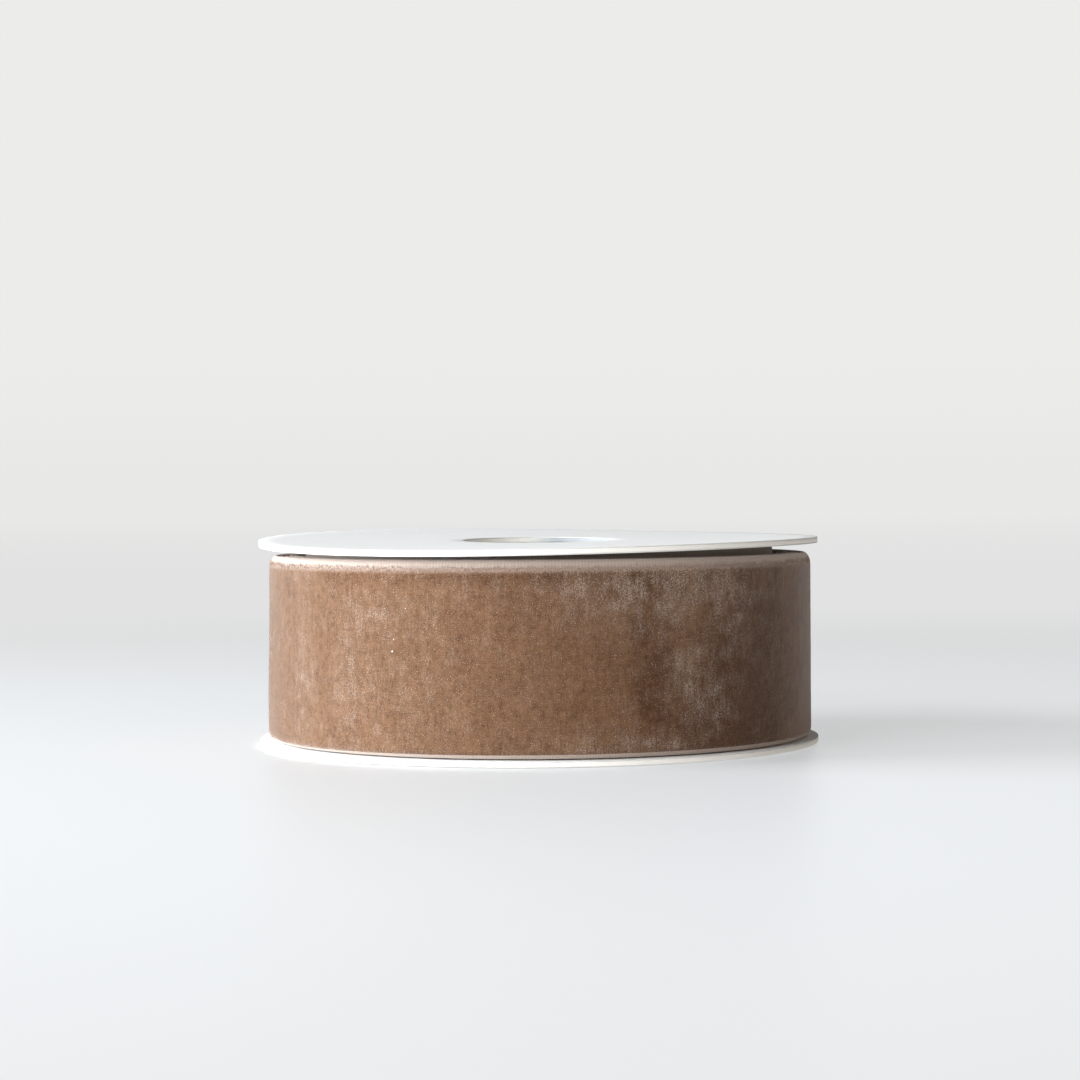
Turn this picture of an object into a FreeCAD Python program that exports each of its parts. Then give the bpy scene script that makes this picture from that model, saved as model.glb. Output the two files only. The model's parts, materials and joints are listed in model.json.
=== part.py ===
import FreeCAD, Part
import math
import os
import Sketcher

# Ribbon spool: two paper-lined board flanges on a wound paper core, holding ten yards of
# 38 mm velvet ribbon, with a taped tail that lifts.
#
# Frame: +Z up along the spool's axis, origin at the middle of the face that the spool lies on.
# Units are millimetres and degrees. Angles are measured from +X, anticlockwise from above.
#
# The lower flange is flat. The upper flange is curled: its two sides rise about one low line, so
# its faces are shallow cylinders. It also leans back a little, on a wedge of glue, so the low line
# falls towards the front. The inner turns of the ribbon stand up against it, and the outer turns
# have slipped down to the lower flange.

doc = FreeCAD.newDocument("ribbon_spool")
sheet = doc.addObject("Spreadsheet::Sheet", "dims")

DIMENSIONS = [
    ("flange_radius", 58.4, "both flanges, outside"),
    ("bore_radius", 15.75, "hole through both flanges, for a dispenser's rod"),
    ("board_thick", 1.0, "flange board"),
    ("paper_thick", 0.12, "lining paper on each face of a board"),
    ("core_radius", 16.5, "inside of the core tube"),
    ("ply_thick", 0.8, "each of the core's three plies"),
    ("glue_thick", 0.15, "glue at each end of the core"),
    ("glue_inset", 0.1, "glue ring inside the core's end face"),
    ("ribbon_width", 38.0, "ribbon, selvedge to selvedge"),
    ("ribbon_thick", 0.9, "ribbon with its pile pressed"),
    ("turn_pitch", 1.2, "growth in radius over the loose last turn"),
    ("outer_radius", 57.5, "outside of the ribbon at its tail"),
    ("inner_radius", 49.6, "outside of the inner turns, which stand higher"),
    ("ribbon_lift", 0.25, "outer turns above the lower flange"),
    ("turn_gap", 0.05, "air between the last turn and the turns in it"),
    ("flange_gap", 1.4, "upper flange above the outer turns, at its low line's middle"),
    ("inner_gap", 0.15, "upper flange above the inner turns"),
    ("core_rise", 1.05, "core above the outer turns"),
    ("curl_height", 0.91, "rise of the upper flange, one flange radius away from its low line"),
    ("curl_angle", -40.0, "direction in which the upper flange rises"),
    ("curl_offset", 21.5, "low line's middle, away from the axis in that direction"),
    ("curl_slope", 0.69, "fall of the low line towards the front"),
    ("tail_angle", 100.0, "where the tail leaves the last turn"),
    ("tail_sweep", 30.5, "angle that the tail covers"),
    ("hinge_sweep", 0.3, "angle left open at the tail's fold"),
    ("tape_thick", 0.1, "tail tape"),
    ("tape_width", 12.0, "tail tape, along the axis"),
    ("tape_sweep", 9.5, "angle of tape on the tail, and past it"),
    ("tape_gap", 0.25, "tail tape above the turn that it reaches"),
    ("edge_sweep", 0.1, "angle of tape against the tail's cut end"),
    ("starter_thick", 0.1, "tape that starts the ribbon on the core"),
    ("starter_width", 30.0, "starter tape, along the axis"),
    ("starter_sweep", 60.0, "angle that the starter tape covers"),
    ("tool_length", 200.0, "length of the cutting cylinders"),
]
DERIVED = [
    ("flange_thick", "=board_thick + 2 * paper_thick"),
    ("curl_radius", "=flange_radius ^ 2 / (2 * curl_height) + curl_height / 2"),
    ("ribbon_bottom", "=flange_thick + ribbon_lift"),
    ("ribbon_top", "=ribbon_bottom + ribbon_width"),
    ("upper_bottom", "=ribbon_top + flange_gap"),
    ("core_bottom", "=flange_thick + glue_thick"),
    ("core_top", "=ribbon_top + core_rise"),
    ("core_outside", "=core_radius + 3 * ply_thick"),
    ("turn_start", "=outer_radius - ribbon_thick - turn_pitch"),
    ("spiral_shift", "=turn_pitch / 4"),
    ("inner_top", "=upper_bottom - inner_gap"),
]

for row, (alias, value, note) in enumerate(DIMENSIONS, start=1):
    sheet.set(f"A{row}", note)
    sheet.set(f"B{row}", str(value))
    sheet.setAlias(f"B{row}", alias)
for row, (alias, formula) in enumerate(DERIVED, start=len(DIMENSIONS) + 1):
    sheet.set(f"A{row}", alias.replace("_", " "))
    sheet.set(f"B{row}", formula)
    sheet.setAlias(f"B{row}", alias)
doc.recompute()

OVERSIZE = 2.0  # how far a blank or a cutter reaches past what it makes
FIRST_GUESS = 20.0  # radius of a sketched circle before its constraint sets it
nodes = []


def dim(alias):
    """A dimension's value, for the few places that an expression can't reach."""
    return float(getattr(sheet, alias))


def bind(obj, **expressions):
    """Binds an object's properties to expressions on the sheet. Two underscores stand for a dot."""
    for name, expression in expressions.items():
        obj.setExpression(name.replace("__", "."), expression)
    return obj


def node(obj, label):
    """Marks an object as a sub-part that is written to its own file."""
    obj.Label = label
    nodes.append(obj)
    return obj


# Pieces that are flat rings: the lower flange's layers and the core's plies.


def ring(label, outer, inner, bottom, thick):
    """A padded ring about the axis, as a body with one sketch of two circles."""
    body = doc.addObject("PartDesign::Body", label + "_body")
    sketch = body.newObject("Sketcher::SketchObject", label + "_sketch")
    plane = next(f for f in body.Origin.OriginFeatures if f.Role == "XY_Plane")
    sketch.AttachmentSupport = [(plane, "")]
    sketch.MapMode = "FlatFace"
    axis = FreeCAD.Vector(0, 0, 1)
    centre_point, origin_geometry, origin_point = 3, -1, 1
    for index, radius in enumerate((outer, inner)):
        guess = FIRST_GUESS / (index + 1)
        sketch.addGeometry(Part.Circle(FreeCAD.Vector(0, 0, 0), axis, guess), False)
        sketch.addConstraint(
            Sketcher.Constraint("Coincident", index, centre_point, origin_geometry, origin_point)
        )
        number = sketch.addConstraint(Sketcher.Constraint("Radius", index, guess))
        sketch.setExpression(f"Constraints[{number}]", radius)
    pad = body.newObject("PartDesign::Pad", label + "_pad")
    pad.Profile = sketch
    bind(pad, Length=thick)
    bind(body, Placement__Base__z=bottom)
    return node(body, label)


# Pieces cut from round bars: part-rings about a centre, and anything the curl touches.


def bar(name, radius, bottom, height, sweep="360", start="0", shift="0"):
    """A round bar, or a wedge of one from start, its centre moved by shift along the tail's direction."""
    cylinder = doc.addObject("Part::Cylinder", name)
    return bind(
        cylinder,
        Radius=radius,
        Height=height,
        Angle=sweep,
        Placement__Rotation__Angle=start,
        Placement__Base__x=f"({shift}) * cos(dims.tail_angle)",
        Placement__Base__y=f"({shift}) * sin(dims.tail_angle)",
        Placement__Base__z=bottom,
    )


def cut(name, base, tool):
    """Base less tool."""
    made = doc.addObject("Part::Cut", name)
    made.Base = base
    made.Tool = tool
    return made


def common(name, first, second):
    """Where two solids meet."""
    made = doc.addObject("Part::Common", name)
    made.Base = first
    made.Tool = second
    return made


def fuse(name, *shapes):
    """Several solids as one, with the seams between them removed."""
    made = doc.addObject("Part::MultiFuse", name)
    made.Shapes = list(shapes)
    made.Refine = True
    return made


def tube(name, outer, inner, bottom, height, sweep="360", start="0", shift="0"):
    """A ring, or a wedge of one, as one bar less another."""
    whole = bar(name + "_outside", outer, bottom, height, sweep, start, shift)
    hole = bar(name + "_inside", inner, bottom, height, sweep, start, shift)
    return cut(name, whole, hole)


def above_curl(name, low):
    """All that is above a curled surface whose low line's middle is at height low: a wide bar laid on it."""
    laid = doc.addObject("Part::Cylinder", name)
    rise = math.radians(dim("curl_angle"))
    turn = dim("curl_slope") - 90
    laid.Placement.Rotation = FreeCAD.Rotation(FreeCAD.Vector(math.cos(rise), math.sin(rise), 0), turn)
    half_level = "dims.tool_length / 2 * cos(dims.curl_slope)"
    half_drop = "dims.tool_length / 2 * sin(dims.curl_slope)"
    return bind(
        laid,
        Radius="dims.curl_radius",
        Height="dims.tool_length",
        Placement__Base__x=f"dims.curl_offset * cos(dims.curl_angle) + {half_level} * sin(dims.curl_angle)",
        Placement__Base__y=f"dims.curl_offset * sin(dims.curl_angle) - {half_level} * cos(dims.curl_angle)",
        Placement__Base__z=f"{low} + dims.curl_radius / cos(dims.curl_slope) - {half_drop}",
    )


def curled_ring(label, outer, inner, low, thick):
    """A ring whose two faces follow the curl, thick apart."""
    reach = f"{thick} + dims.curl_height + {2 * OVERSIZE}"
    blank = tube(label + "_blank", outer, inner, f"{low} - {OVERSIZE}", reach)
    layer = cut(
        label + "_layer",
        above_curl(label + "_under", low),
        above_curl(label + "_over", f"{low} + {thick}"),
    )
    return node(common(label + "_common", blank, layer), label)


# Lower flange: a board lined with paper on both faces.
ring("lower_flange_outer_paper", "dims.flange_radius", "dims.bore_radius", "0", "dims.paper_thick")
ring(
    "lower_flange_board",
    "dims.flange_radius",
    "dims.bore_radius",
    "dims.paper_thick",
    "dims.board_thick",
)
ring(
    "lower_flange_inner_paper",
    "dims.flange_radius",
    "dims.bore_radius",
    "dims.paper_thick + dims.board_thick",
    "dims.paper_thick",
)

# Upper flange: the same three layers, curled.
upper_layers = [
    ("upper_flange_inner_paper", "dims.upper_bottom", "dims.paper_thick"),
    ("upper_flange_board", "dims.upper_bottom + dims.paper_thick", "dims.board_thick"),
    (
        "upper_flange_outer_paper",
        "dims.upper_bottom + dims.paper_thick + dims.board_thick",
        "dims.paper_thick",
    ),
]
for label, low, thick in upper_layers:
    curled_ring(label, "dims.flange_radius", "dims.bore_radius", low, thick)

# Core: three plies of board wound one on another, glued to a flange at each end.
for index, label in enumerate(("core_inner_ply", "core_middle_ply", "core_outer_ply")):
    ring(
        label,
        f"dims.core_radius + {index + 1} * dims.ply_thick",
        f"dims.core_radius + {index} * dims.ply_thick",
        "dims.core_bottom",
        "dims.core_top - dims.core_bottom",
    )
ring(
    "lower_glue_ring",
    "dims.core_outside - dims.glue_inset",
    "dims.core_radius + dims.glue_inset",
    "dims.flange_thick",
    "dims.glue_thick",
)
upper_glue = tube(
    "upper_glue_blank",
    "dims.core_outside - dims.glue_inset",
    "dims.core_radius + dims.glue_inset",
    "dims.core_top",
    f"{OVERSIZE}",
)
node(
    cut("upper_glue_cut", upper_glue, above_curl("upper_glue_over", "dims.upper_bottom")),
    "upper_glue_ring",
)
node(
    tube(
        "starter_tape_tube",
        "dims.core_outside + dims.starter_thick",
        "dims.core_outside",
        "dims.inner_top - dims.ribbon_width / 2 - dims.starter_width / 2",
        "dims.starter_width",
        "dims.starter_sweep",
        "dims.tail_angle",
    ),
    "starter_tape",
)

# Ribbon, inner turns: they follow the curl above, and so also below.
inner_blank = tube(
    "inner_turns_blank",
    "dims.inner_radius",
    "dims.core_outside + dims.starter_thick + dims.turn_gap",
    "dims.flange_thick",
    f"dims.ribbon_width + dims.ribbon_lift + dims.flange_gap + {OVERSIZE}",
)
inner_trimmed = cut(
    "inner_turns_trimmed", inner_blank, above_curl("inner_turns_over", "dims.inner_top")
)
node(
    common(
        "inner_turns_common",
        inner_trimmed,
        above_curl("inner_turns_under", "dims.inner_top - dims.ribbon_width"),
    ),
    "ribbon_inner_turns",
)


def winding(name, inner, outer):
    """One turn of a spiral from the tail's direction: two half rings about centres a little apart."""
    halves = []
    for part, start, shift, growth in (
        ("first", "dims.tail_angle", "-dims.spiral_shift", "0"),
        ("second", "dims.tail_angle + 180", "dims.spiral_shift", "dims.turn_pitch / 2"),
    ):
        halves.append(
            tube(
                f"{name}_{part}",
                f"{outer} + {growth}",
                f"{inner} + {growth}",
                "dims.ribbon_bottom",
                "dims.ribbon_width",
                "180",
                start,
                shift,
            )
        )
    return fuse(name + "_turn", *halves)


# Ribbon, outer turns: filled in to the inner turns, with the spiral's step where the last turn starts.
outer_blank = winding("outer_turns", "dims.core_outside", "dims.turn_start - dims.turn_gap")
outer_hole = bar("outer_turns_hole", "dims.inner_radius", "dims.flange_thick", "dims.ribbon_top")
node(cut("outer_turns_cut", outer_blank, outer_hole), "ribbon_outer_turns")

# Ribbon, last turn, and the tail that goes on from it over its first stretch.
node(winding("last_turn", "dims.turn_start", "dims.turn_start + dims.ribbon_thick"), "ribbon_last_turn")
node(
    tube(
        "tail_tube",
        "dims.turn_start + dims.turn_pitch + dims.ribbon_thick",
        "dims.turn_start + dims.turn_pitch",
        "dims.ribbon_bottom",
        "dims.ribbon_width",
        "dims.tail_sweep - dims.hinge_sweep",
        "dims.tail_angle + dims.hinge_sweep",
        "-dims.spiral_shift",
    ),
    "ribbon_tail",
)

# Tail tape: over the end of the tail, down its cut edge, and on to the turn below.
TAPE_BOTTOM = "dims.ribbon_bottom + dims.ribbon_width / 2 - dims.tape_width / 2"
ON_TAIL = "dims.turn_start + dims.turn_pitch + dims.ribbon_thick"
ON_TURN = "dims.turn_start + dims.ribbon_thick + dims.tape_gap"
TAIL_END = "dims.tail_angle + dims.tail_sweep"
tape_parts = (
    ("on_tail", f"{ON_TAIL}", "dims.tape_thick", f"{TAIL_END} - dims.tape_sweep", "dims.tape_sweep"),
    ("down_edge", ON_TURN, f"{ON_TAIL} + dims.tape_thick - ({ON_TURN})", TAIL_END, "dims.edge_sweep"),
    ("on_turn", ON_TURN, "dims.tape_thick", TAIL_END, "dims.tape_sweep"),
)
tape = [
    tube(
        "tail_tape_" + part,
        f"{inside} + {thick}",
        inside,
        TAPE_BOTTOM,
        "dims.tape_width",
        sweep,
        start,
        "-dims.spiral_shift",
    )
    for part, inside, thick, start, sweep in tape_parts
]
node(fuse("tail_tape_fuse", *tape), "tail_tape")

doc.recompute()

for obj in doc.Objects:
    if "Invalid" in obj.State or "Error" in obj.State:
        raise RuntimeError(f"{obj.Label} failed: {obj.State}")

os.makedirs("parts", exist_ok=True)
for obj in nodes:
    shape = obj.Shape
    if shape.isNull() or not shape.isValid() or not shape.Solids:
        raise RuntimeError(f"{obj.Label} isn't a valid solid")
    shape.exportStep(f"parts/{obj.Label}.step")
    box = shape.BoundBox
    print(
        f"{obj.Label}: {len(shape.Solids)} solid, {shape.Volume:.1f} mm3, "
        f"z {box.ZMin:.2f} to {box.ZMax:.2f}, radius to {max(box.XMax, box.YMax):.2f}"
    )

fold = math.radians(dim("tail_angle"))
reach = dim("outer_radius") - dim("spiral_shift")
print(f"tail fold at {reach * math.cos(fold):.3f}, {reach * math.sin(fold):.3f}")
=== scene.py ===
# %% [markdown]
# # A flat spool of velvet ribbon
# This lesson dresses a plain model of a ribbon spool. The plain model has every part at its true size: two
# card flanges, a paper core between them, and the wound ribbon as simple rings. Each step below takes one
# part of the spool, says what it is made of, and gives it the shape and the finish of the real thing.

import json
import math
import random

import bpy
from mathutils import Euler, Matrix, Vector, noise


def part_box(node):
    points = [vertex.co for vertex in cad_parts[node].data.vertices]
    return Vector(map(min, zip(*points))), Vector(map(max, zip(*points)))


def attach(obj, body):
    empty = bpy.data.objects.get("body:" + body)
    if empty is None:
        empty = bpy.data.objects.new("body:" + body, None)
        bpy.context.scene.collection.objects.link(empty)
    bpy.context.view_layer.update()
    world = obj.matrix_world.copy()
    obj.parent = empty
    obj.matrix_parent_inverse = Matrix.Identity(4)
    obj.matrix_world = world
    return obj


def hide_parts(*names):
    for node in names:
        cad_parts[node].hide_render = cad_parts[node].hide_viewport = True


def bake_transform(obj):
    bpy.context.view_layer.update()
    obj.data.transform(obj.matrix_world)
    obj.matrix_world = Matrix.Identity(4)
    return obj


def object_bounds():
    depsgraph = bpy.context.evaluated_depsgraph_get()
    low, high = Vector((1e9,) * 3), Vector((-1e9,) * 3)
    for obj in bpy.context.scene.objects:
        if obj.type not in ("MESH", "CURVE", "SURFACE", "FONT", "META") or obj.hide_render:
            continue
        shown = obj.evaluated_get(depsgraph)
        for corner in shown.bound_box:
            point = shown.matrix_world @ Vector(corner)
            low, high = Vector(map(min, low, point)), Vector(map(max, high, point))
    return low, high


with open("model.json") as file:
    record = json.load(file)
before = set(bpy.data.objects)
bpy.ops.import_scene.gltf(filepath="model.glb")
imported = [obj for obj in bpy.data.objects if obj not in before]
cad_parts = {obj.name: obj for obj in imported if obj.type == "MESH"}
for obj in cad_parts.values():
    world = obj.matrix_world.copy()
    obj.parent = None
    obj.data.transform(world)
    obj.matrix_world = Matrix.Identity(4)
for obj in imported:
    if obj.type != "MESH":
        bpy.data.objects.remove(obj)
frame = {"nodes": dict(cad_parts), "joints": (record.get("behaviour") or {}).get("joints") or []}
plain_low, plain_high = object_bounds()
bpy.ops.object.select_all(action="DESELECT")
print("plain model:", [round(side * 1000, 1) for side in plain_high - plain_low], "mm")

# %% [markdown]
# Every place in this lesson is worked out from the plain model, so that nothing has to be fitted later.
# The ribbon lies in a spiral. Its outermost turn grows a little from where it starts to the fold, the line
# where the free tail leaves the spool. The tail swings about that fold.

# %% Sizes read from the plain model
MM = 0.001
FULL_TURN = 2 * math.pi

FLANGE_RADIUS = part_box("lower_flange_board")[1].x
RIBBON_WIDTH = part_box("ribbon_last_turn")[1].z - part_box("ribbon_last_turn")[0].z
INNER_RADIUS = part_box("ribbon_inner_turns")[1].y
CORE_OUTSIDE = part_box("core_outer_ply")[1].x
FOLD = Vector(frame["joints"][0]["pos_m"])
FOLD_ANGLE = math.atan2(FOLD.y, FOLD.x)
FOLD_RADIUS = math.hypot(FOLD.x, FOLD.y)

RIBBON_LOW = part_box("ribbon_last_turn")[0].z
RIBBON_THICK = 0.9 * MM
LAST_GROWTH = 1.2 * MM
WOUND_PITCH = 0.975 * MM
TAIL_SWEEP = math.radians(30.5)
print("ribbon width", round(RIBBON_WIDTH / MM, 2), "fold radius", round(FOLD_RADIUS / MM, 2))


# %% [markdown]
# The ribbon is one strip, and a point on it has two measures: how far along it is, and how high. Both are
# kept as the strip's own map, in metres, so that weave and pile keep their true scale on every turn, and
# run on without a break from the last turn to the tail.

# %% A strip of ribbon along a path
ROLL_REACH = 1.9 * MM
TOP_ROLL, LOW_ROLL = 0.75 * MM, 0.45 * MM
SLACK_WAVE, SLACK_RIPPLE, SLACK_BELLY = 0.12 * MM, 0.05 * MM, 0.4 * MM


def add_closed_piece(mesh):
    """A piece made of a mesh, with every face turned outwards. It's left selected."""
    piece = bpy.data.objects.new(mesh.name, mesh)
    bpy.context.scene.collection.objects.link(piece)
    bpy.ops.object.select_all(action="DESELECT")
    bpy.context.view_layer.objects.active = piece
    piece.select_set(True)
    bpy.ops.object.mode_set(mode="EDIT")
    bpy.ops.mesh.select_all(action="SELECT")
    bpy.ops.mesh.normals_make_consistent(inside=False)
    bpy.ops.object.mode_set(mode="OBJECT")
    return piece


def ribbon_strip(name, path, section, body, tones=None):
    """A closed strip. path gives (angle, radius, rise, along) at each station, and section(along) gives the
    outline there as (height, depth) points, anticlockwise as seen from the path's end: depth is outwards.
    tones are functions of (angle, along, height), each kept at the vertices under its own name. A strip with
    no body is left unattached."""
    verts, faces, along_of, angles = [], [], [], []
    for angle, radius, rise, along in path:
        for height, depth in section(angle, along):
            reach = radius + depth
            verts.append((reach * math.cos(angle), reach * math.sin(angle), rise + height))
            along_of.append((along, height))
            angles.append(angle)
    stations = len(path)
    rows = len(verts) // stations
    for station in range(stations - 1):
        here, there = station * rows, (station + 1) * rows
        for row in range(rows):
            following = (row + 1) % rows
            faces.append((here + row, there + row, there + following, here + following))
    faces.append(tuple(range(rows)))
    faces.append(tuple(reversed(range((stations - 1) * rows, stations * rows))))
    mesh = bpy.data.meshes.new(name)
    mesh.from_pydata(verts, [], faces)
    strip_map = mesh.uv_layers.new(name="strip")
    for loop in mesh.loops:
        strip_map.data[loop.index].uv = along_of[loop.vertex_index]
    for tone, function in (tones or {}).items():
        values = [function(angle, *place) for angle, place in zip(angles, along_of)]
        mesh.attributes.new(tone, "FLOAT", "POINT").data.foreach_set("value", values)
    strip = add_closed_piece(mesh)
    bpy.ops.object.shade_smooth_by_angle(angle=math.radians(50))
    strip.select_set(False)
    if body:
        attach(strip, body)
    print(name, len(mesh.polygons), "faces")
    return strip


def last_turn_radius(angle):
    """Outside radius of the last turn, or of the tail past the fold."""
    return FOLD_RADIUS + LAST_GROWTH * min(0.0, angle - FOLD_ANGLE) / FULL_TURN


def slack(angle, height):
    """How far a loosely wound turn stands out at a place: slow waves, and a belly low on one side."""
    share = (height - 0.5 * RIBBON_WIDTH) / RIBBON_WIDTH
    wave = 0.5 + 0.5 * math.sin(3 * angle + 0.6) * math.cos(1.3 * share + 0.4)
    ripple = 0.5 + 0.5 * math.sin(11 * angle + 2.2 * share)
    belly = math.exp(-((math.remainder(angle - math.pi, FULL_TURN) / 0.5) ** 2 + ((share + 0.3) / 0.35) ** 2))
    return SLACK_WAVE * wave + SLACK_RIPPLE * ripple + SLACK_BELLY * belly - edge_roll(height)


def edge_roll(height):
    """How far the ribbon's edges roll in towards the turn below."""
    from_top = max(0.0, 1 - (RIBBON_WIDTH - height) / ROLL_REACH)
    from_bottom = max(0.0, 1 - height / ROLL_REACH)
    return TOP_ROLL * from_top ** 2 + LOW_ROLL * from_bottom ** 2


# %% [markdown]
# ## The ground cloth
# Velvet ribbon is woven as a thin ground cloth, and pile stands on the middle of it. Along each edge the
# ground is bare. There the weft turns round the outermost warp ends and makes a narrow ribbed selvedge. The
# ribs are modelled, because they catch the light and make the edge look woven.

# %% Ground cloth
RIB_PITCH = 0.65 * MM
RIB_HEIGHT = 0.045 * MM
SELVEDGE = 1.55 * MM
GROUND_THICK = 0.55 * MM
STATIONS_PER_RIB = 4


def ground_section(angle, along):
    """Outline of the ground cloth, from the bottom of its back up, and down its front."""
    rib = RIB_HEIGHT * math.cos(FULL_TURN * along / RIB_PITCH)
    back = -RIBBON_THICK
    front = back + GROUND_THICK
    across = [  # height from the ribbon's edge, and depth as a share of the cloth's thickness
        (-0.3 * rib, 0.35),
        (0.14 * MM, 0.85),
        (0.45 * MM, 1.1),
        (0.80 * MM, 1.0),
        (1.15 * MM, 1.1),
        (SELVEDGE, 0.7),
    ]
    low = [(height, back + share * GROUND_THICK + (rib if share > 0.8 else 0.0)) for height, share in across]
    high = [(RIBBON_WIDTH - height, depth) for height, depth in reversed(low)]
    behind = [(RIBBON_WIDTH - 0.3 * MM, back), (0.5 * RIBBON_WIDTH, back), (0.3 * MM, back)]
    outline = low + [(0.5 * RIBBON_WIDTH, front)] + high + behind
    return [(height, depth + slack(angle, height)) for height, depth in outline]


def arc_path(start, end, step, radius_at, rise=RIBBON_LOW):
    """Stations from one angle to another, a given length apart, with the length along the ribbon."""
    count = max(2, round(abs(end - start) * radius_at(start) / step))
    stations, along = [], (start - FOLD_ANGLE) * FOLD_RADIUS
    for index in range(count + 1):
        angle = start + (end - start) * index / count
        stations.append((angle, radius_at(angle), rise, along))
        along += (end - start) / count * radius_at(angle)
    return stations


rib_step = RIB_PITCH / STATIONS_PER_RIB
last_path = arc_path(FOLD_ANGLE - FULL_TURN, FOLD_ANGLE, rib_step, last_turn_radius)
last_ground = ribbon_strip("last_turn_ground_cloth", last_path, ground_section, "spool")

# %% [markdown]
# ## The pile
# The pile is a dense brush of short fibres, cut to one height. It is modelled as its own layer on the ground
# cloth, because its outside is what is seen: a soft shoulder at each selvedge, and a surface that rises and
# falls a few hundredths of a millimetre where the pile has been stroked or pressed. At one place the flange has
# pushed the pile's lower edge down over the selvedge.

# %% Pile
PILE_TOP_EDGE = 1.25 * MM
PILE_LOW_EDGE = 0.6 * MM
PILE_STEP = 0.46 * MM
TOP_SHOULDER = 1.4 * MM
LOW_SHOULDER = 0.6 * MM
PILE_SUNK = -RIBBON_THICK + 0.25 * GROUND_THICK
STRAY = 0.12 * MM
PUSHED_DOWN, PUSHED_AT, PUSHED_SPREAD = 0.45 * MM, math.radians(-155), 0.55


def nap(angle, along, height):
    """Depth of the pile's surface below its full height, from how the pile lies."""
    brushed = noise.noise(Vector((along / (9 * MM), height / (7 * MM), 0.3)))
    mottle = noise.noise(Vector((along / (2.4 * MM), height / (2.0 * MM), 5.1)))
    grain = noise.noise(Vector((along / (0.9 * MM), height / (0.9 * MM), 9.7)))
    return (0.035 + 0.02 * brushed + 0.014 * mottle + 0.012 * grain) * MM


def pile_depth(from_edge, lowered):
    """Depth of the pile's outside: nothing at full height, with a rounded shoulder at each edge."""
    shoulder = 1 - (1 - min(1.0, from_edge + 0.04)) ** 2
    return PILE_SUNK + (-PILE_SUNK - lowered) * shoulder


def pile_section(angle, along):
    """Outline of the pile, up its front and down its back, which is sunk in the ground cloth."""
    stray = STRAY * noise.noise(Vector((along / (1.6 * MM), 3.3, 0.0)))
    off = math.remainder(angle - PUSHED_AT, FULL_TURN) / PUSHED_SPREAD
    low = PILE_LOW_EDGE - PUSHED_DOWN * math.exp(-0.5 * off ** 2) + 0.4 * stray
    high = RIBBON_WIDTH - PILE_TOP_EDGE + 0.7 * stray
    rows = round((RIBBON_WIDTH - PILE_LOW_EDGE - PILE_TOP_EDGE) / PILE_STEP)
    outline = [(low, PILE_SUNK)]
    for row in range(rows + 1):
        height = low + (high - low) * row / rows
        from_edge = min((height - low) / LOW_SHOULDER, (high - height) / TOP_SHOULDER)
        outline.append((height, pile_depth(from_edge, nap(angle, along, height))))
    outline.append((high, PILE_SUNK))
    return [(height, depth + slack(angle, height)) for height, depth in outline]


# %% [markdown]
# The pile has been stroked by hands and by the machine that wound it. Where it was stroked up against its
# lean, the tips show and it looks frosted. Where it was pressed flat, it is darker. A few such places are
# given by angle and height, and soft noise breaks them up and scatters others over the rest. Some of the
# listed places are painted light instead: paler places towards the spool's left and right edges are painted
# sheen and painted light, and a darker stretch over the right side and a dark band under the top selvedge
# are painted shade.

# %% Stroked and pressed places
FROSTED_AND_PAINTED_SHEEN = (  # degrees about the axis, height in mm, half width in degrees, half height in mm, strength
    (-63, 33, 16, 3.2, 1.15),
    (-69, 29, 9, 5.0, 0.5),
    (-52, 28, 4, 4.0, 0.4),
    (-46, 24.5, 4, 6.0, 0.5),
    (-58, 14.4, 4, 4.5, 0.9),
    (-53, 9, 4, 3.5, 0.7),
    (-73, 3, 9, 1.6, 0.7),
    (-61, 2.2, 3, 1.2, 0.6),
    # painted sheen: the next two places pale the pile near the spool's left edge, where it catches the light
    (-146, 19, 3, 14.0, 0.45),
    (-131, 13, 4, 9.0, 0.4),
    (-126, 28, 6, 3.0, 0.3),
    # painted light: lifts a stretch left of the front that the lamps light too weakly
    (-116, 19, 8, 18.0, 0.2),
    # painted sheen along the spool's left edge
    (-175, 19, 11, 20.0, 0.25),
    # painted sheen along the spool's right edge
    (-20, 19, 8, 24.0, 0.4),
)
PRESSED_AND_PAINTED_SHADE = (
    (-67.5, 19, 3, 10.0, 0.8),
    (-50, 20, 3, 5.0, 0.5),
    (-40, 22, 4, 12.0, 0.6),
    (-42, 9, 8, 7.0, 0.8),
    # painted shade: darkens the whole right side, away from the windows
    (-36, 17, 13, 22.0, 0.6),
    (-55, 4, 8, 6.0, 0.8),
    # painted shade: a dark band just under the top selvedge
    (-97, 34.6, 30, 0.9, 0.6),
    (-78, 33, 8, 2.0, 0.4),
)


def places_sum(places, angle, height):
    """How much a list of soft oval places covers a point."""
    total = 0.0
    for degrees, middle, wide, tall, strength in places:
        across = math.remainder(angle - math.radians(degrees), FULL_TURN) / math.radians(wide)
        up = (height / MM - middle) / tall
        total += strength * math.exp(-0.5 * (across ** 2 + up ** 2))
    return total


def frost_and_sheen(angle, along, height):
    """Share of tips that show, 0 to 1, with a fringe of loose fibres along the lower edge of the pile. Some of its
    places are painted sheen.
    """
    cloud = noise.noise(Vector((along / (3.2 * MM), height / (2.6 * MM), 2.2)))
    streak = noise.noise(Vector((along / (1.3 * MM), height / (3.5 * MM), 6.4)))
    patch = places_sum(FROSTED_AND_PAINTED_SHEEN, angle, height) * (0.75 + 0.6 * streak + 0.7 * cloud)
    scattered = 0.30 * max(0.0, cloud + 0.6 * streak - 0.05)
    low_fringe = 0.35 * math.exp(-(height - PILE_LOW_EDGE) / (0.8 * MM))
    return min(1.0, max(0.0, patch + scattered) + low_fringe)


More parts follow.
